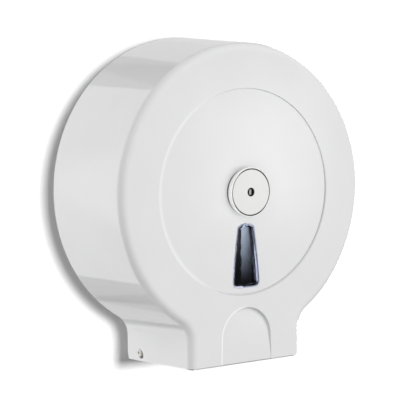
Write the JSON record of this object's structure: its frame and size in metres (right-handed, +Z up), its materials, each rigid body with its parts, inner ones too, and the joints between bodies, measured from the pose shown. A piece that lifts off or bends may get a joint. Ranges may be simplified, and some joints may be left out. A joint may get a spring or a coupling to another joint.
{
  "type": "jumbo toilet roll dispenser",
  "caption": "Wall-hung round dispenser for a large paper roll: hinged cover with smoked window and key lock, serrated outlet neck, turning core hub on a fixed spindle.",
  "frame": {"origin": "centre of the four wall screw slots, on the wall face behind the centre of the round case", "axes": "+Z up, +X to the right as seen from the front, -Y out of the wall towards the user"},
  "size_m": [0.3448, 0.1385, 0.3706],
  "materials": {
    "cover_abs": "glossy white moulded plastic",
    "strip_abs": "satin grey moulded plastic",
    "lock_abs": "satin white moulded plastic",
    "lock_face_abs": "satin white moulded plastic",
    "smoked_window": "smoked grey transparent plastic, polished",
    "plate_abs": "fine-grained charcoal moulded plastic",
    "pin_plastic": "natural white nylon",
    "spindle_plastic": "grey moulded plastic",
    "hub_plastic": "white moulded plastic",
    "adapter_plastic": "grey moulded plastic",
    "washer_plastic": "slippery natural plastic",
    "keeper_plastic": "black moulded plastic",
    "nut_plastic": "black moulded plastic",
    "rotor_plastic": "dark moulded plastic",
    "cam_zinc": "zinc casting",
    "zinc_steel": "bright zinc-plated steel",
    "spring_steel": "oiled spring steel"
  },
  "bodies": {
    "base": {"wall_plate": "plate_abs", "hinge_pin_left": "pin_plastic", "hinge_pin_right": "pin_plastic", "roll_spindle": "spindle_plastic", "spindle_screws": "zinc_steel", "hub_thrust_washer": "washer_plastic", "hub_retaining_ring": "spring_steel", "lock_keeper": "keeper_plastic"},
    "cover": {"front_cover": "cover_abs", "inspection_window": "smoked_window", "tear_strip": "strip_abs", "lock_housing": "lock_abs", "lock_face": "lock_face_abs", "lock_nut": "nut_plastic", "lock_spring_washer": "spring_steel"},
    "lock": {"lock_rotor": "rotor_plastic", "lock_cam": "cam_zinc", "lock_cam_screw": "zinc_steel"},
    "hub": {"core_hub": "hub_plastic", "core_adapter": "adapter_plastic"}
  },
  "joints": [
    {"name": "cover_hinge", "type": "hinge", "parent": "base", "child": "cover", "pos_m": [0, -0.025, -0.188], "axis": [1, 0, 0], "range_deg": [0, 90]},
    {"name": "lock_turn", "type": "hinge", "parent": "cover", "child": "lock", "pos_m": [0, -0.118, 0], "axis": [0, 1, 0], "range_deg": [0, 90]},
    {"name": "hub_spin", "type": "hinge", "parent": "base", "child": "hub", "pos_m": [0, -0.055, 0], "axis": [0, -1, 0], "continuous": true}
  ]
}
